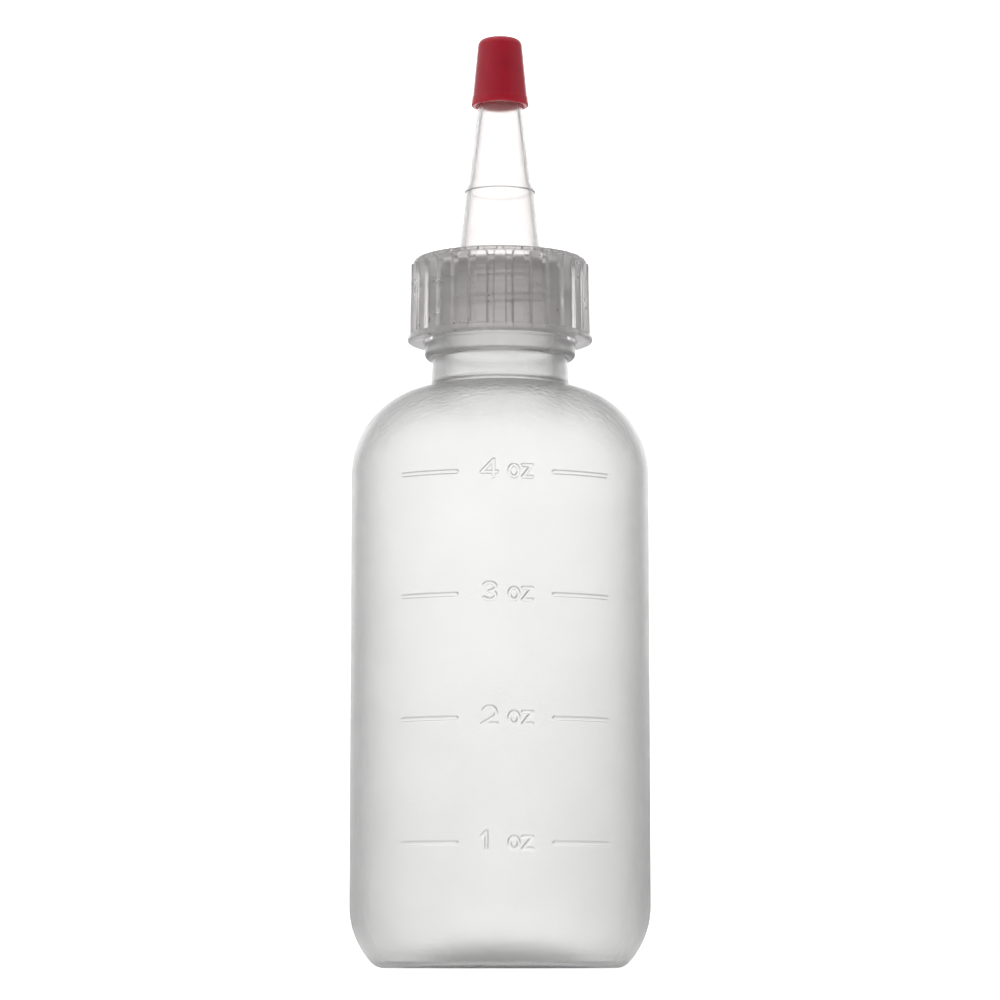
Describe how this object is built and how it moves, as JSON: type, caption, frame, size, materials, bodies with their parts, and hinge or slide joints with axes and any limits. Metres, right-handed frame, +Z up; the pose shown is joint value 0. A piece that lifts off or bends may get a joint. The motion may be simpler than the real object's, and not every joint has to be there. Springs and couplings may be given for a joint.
{
  "type": "glue applicator bottle",
  "caption": "Soft squeeze bottle with raised volume graduations, a ribbed screw-on closure with a conical dispensing spout, and a push-on red tip cap.",
  "frame": {"origin": "centre of the ring that the bottle stands on", "axes": "+Z up along the bottle's axis to the spout tip; the graduations face -Y; +X to the right of a person reading them"},
  "size_m": [0.0469, 0.047, 0.1475],
  "materials": {
    "bottle_plastic": "natural translucent soft polyethylene, softly mottled",
    "closure_plastic": "natural translucent polyethylene, moulded smooth",
    "tip_plastic": "glossy red moulded plastic"
  },
  "bodies": {
    "bottle": {"bottle": "bottle_plastic"},
    "seal": {"seal_ring": "closure_plastic"},
    "closure": {"closure": "closure_plastic"},
    "tip_cap": {"tip_cap": "tip_plastic"}
  },
  "joints": [
    {"name": "closure_rise", "type": "slide", "parent": "bottle", "child": "seal", "axis": [0, 0, 1], "range_m": [0, 0.00476]},
    {"name": "closure_turn", "type": "hinge", "parent": "seal", "child": "closure", "pos_m": [0, 0, 0.105], "axis": [0, 0, 1], "range_deg": [0, 540]},
    {"name": "tip_pull", "type": "slide", "parent": "closure", "child": "tip_cap", "axis": [0, 0, 1], "range_m": [0, 0.012]}
  ],
  "couplings": [
    {"joint": "closure_rise", "follows": "closure_turn", "m_per_rad": 0.00050532}
  ]
}
